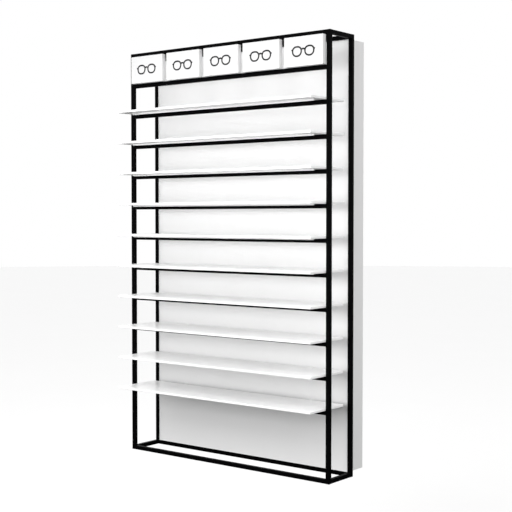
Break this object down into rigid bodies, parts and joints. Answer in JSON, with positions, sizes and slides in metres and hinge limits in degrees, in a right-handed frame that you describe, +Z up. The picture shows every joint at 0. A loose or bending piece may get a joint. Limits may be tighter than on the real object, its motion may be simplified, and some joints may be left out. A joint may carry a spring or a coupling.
{
  "type": "wall-mounted spectacles display",
  "caption": "Wall display for spectacles: black square-tube frame, white shelves that slide on pins, pull-off header plates and a shallow white casing that hangs on a wall cleat.",
  "frame": {"origin": "middle of the wall cleat's four screw holes, on the wall plane", "axes": "+X to the right seen from the front, +Y into the wall, +Z up"},
  "size_m": [0.94, 0.325, 1.55],
  "materials": {
    "frame_black": "satin black powder coat",
    "shelf_white": "satin white solid acrylic sheet",
    "bar_white": "satin white acrylic bar",
    "plate_white": "smooth white powder coat on folded steel",
    "magnet_nickel": "nickel plated",
    "panel_white": "hardboard, lacquered matt white on its front face and raw behind",
    "casing_white": "white melamine-faced board",
    "batten_pine": "planed softwood",
    "cleat_ply": "birch plywood",
    "pin_white": "white enamelled steel rod",
    "sign_grey": "charcoal satin acrylic sign on each header plate",
    "screw_zinc": "zinc plated"
  },
  "bodies": {
    "frame": {"front_left_upright": "frame_black", "front_right_upright": "frame_black", "rear_left_upright": "frame_black", "rear_right_upright": "frame_black", "top_front_rail": "frame_black", "top_rear_rail": "frame_black", "top_left_rail": "frame_black", "top_right_rail": "frame_black", "bottom_front_rail": "frame_black", "bottom_rear_rail": "frame_black", "bottom_left_rail": "frame_black", "bottom_right_rail": "frame_black", "header_rail": "frame_black", "shelf_rail_01": "frame_black", "shelf_rail_02": "frame_black", "shelf_rail_03": "frame_black", "shelf_rail_04": "frame_black", "shelf_rail_05": "frame_black", "shelf_rail_06": "frame_black", "shelf_rail_07": "frame_black", "shelf_rail_08": "frame_black", "shelf_rail_09": "frame_black", "shelf_rail_10": "frame_black", "keeper_bar": "frame_black", "keeper_magnets": "magnet_nickel", "back_panel": "panel_white", "casing_left": "casing_white", "casing_right": "casing_white", "casing_top": "casing_white", "casing_bottom": "casing_white", "pin_battens": "batten_pine", "shelf_pins": "pin_white", "frame_screws": "screw_zinc", "wall_cleat": "cleat_ply", "casing_cleat": "cleat_ply"},
    "shelf_unit_01": {"shelf_01": "shelf_white", "stop_bar_01": "bar_white"},
    "shelf_unit_02": {"shelf_02": "shelf_white", "stop_bar_02": "bar_white"},
    "shelf_unit_03": {"shelf_03": "shelf_white", "stop_bar_03": "bar_white"},
    "shelf_unit_04": {"shelf_04": "shelf_white", "stop_bar_04": "bar_white"},
    "shelf_unit_05": {"shelf_05": "shelf_white", "stop_bar_05": "bar_white"},
    "shelf_unit_06": {"shelf_06": "shelf_white", "stop_bar_06": "bar_white"},
    "shelf_unit_07": {"shelf_07": "shelf_white", "stop_bar_07": "bar_white"},
    "shelf_unit_08": {"shelf_08": "shelf_white", "stop_bar_08": "bar_white"},
    "shelf_unit_09": {"shelf_09": "shelf_white", "stop_bar_09": "bar_white"},
    "shelf_unit_10": {"shelf_10": "shelf_white", "stop_bar_10": "bar_white"},
    "plate_unit_1": {"header_plate_1": "plate_white"},
    "plate_unit_2": {"header_plate_2": "plate_white"},
    "plate_unit_3": {"header_plate_3": "plate_white"},
    "plate_unit_4": {"header_plate_4": "plate_white"},
    "plate_unit_5": {"header_plate_5": "plate_white"}
  },
  "joints": [
    {"name": "shelf_01_slide", "type": "slide", "parent": "frame", "child": "shelf_unit_01", "axis": [0, -1, 0], "range_m": [-0.029, 0.06]},
    {"name": "shelf_02_slide", "type": "slide", "parent": "frame", "child": "shelf_unit_02", "axis": [0, -1, 0], "range_m": [-0.029, 0.06]},
    {"name": "shelf_03_slide", "type": "slide", "parent": "frame", "child": "shelf_unit_03", "axis": [0, -1, 0], "range_m": [-0.029, 0.06]},
    {"name": "shelf_04_slide", "type": "slide", "parent": "frame", "child": "shelf_unit_04", "axis": [0, -1, 0], "range_m": [-0.029, 0.06]},
    {"name": "shelf_05_slide", "type": "slide", "parent": "frame", "child": "shelf_unit_05", "axis": [0, -1, 0], "range_m": [-0.029, 0.06]},
    {"name": "shelf_06_slide", "type": "slide", "parent": "frame", "child": "shelf_unit_06", "axis": [0, -1, 0], "range_m": [-0.029, 0.06]},
    {"name": "shelf_07_slide", "type": "slide", "parent": "frame", "child": "shelf_unit_07", "axis": [0, -1, 0], "range_m": [-0.029, 0.06]},
    {"name": "shelf_08_slide", "type": "slide", "parent": "frame", "child": "shelf_unit_08", "axis": [0, -1, 0], "range_m": [-0.029, 0.06]},
    {"name": "shelf_09_slide", "type": "slide", "parent": "frame", "child": "shelf_unit_09", "axis": [0, -1, 0], "range_m": [-0.029, 0.06]},
    {"name": "shelf_10_slide", "type": "slide", "parent": "frame", "child": "shelf_unit_10", "axis": [0, -1, 0], "range_m": [-0.029, 0.06]},
    {"name": "plate_1_pull", "type": "slide", "parent": "frame", "child": "plate_unit_1", "axis": [0, -1, 0], "range_m": [0, 0.035]},
    {"name": "plate_2_pull", "type": "slide", "parent": "frame", "child": "plate_unit_2", "axis": [0, -1, 0], "range_m": [0, 0.035]},
    {"name": "plate_3_pull", "type": "slide", "parent": "frame", "child": "plate_unit_3", "axis": [0, -1, 0], "range_m": [0, 0.035]},
    {"name": "plate_4_pull", "type": "slide", "parent": "frame", "child": "plate_unit_4", "axis": [0, -1, 0], "range_m": [0, 0.035]},
    {"name": "plate_5_pull", "type": "slide", "parent": "frame", "child": "plate_unit_5", "axis": [0, -1, 0], "range_m": [0, 0.035]}
  ]
}
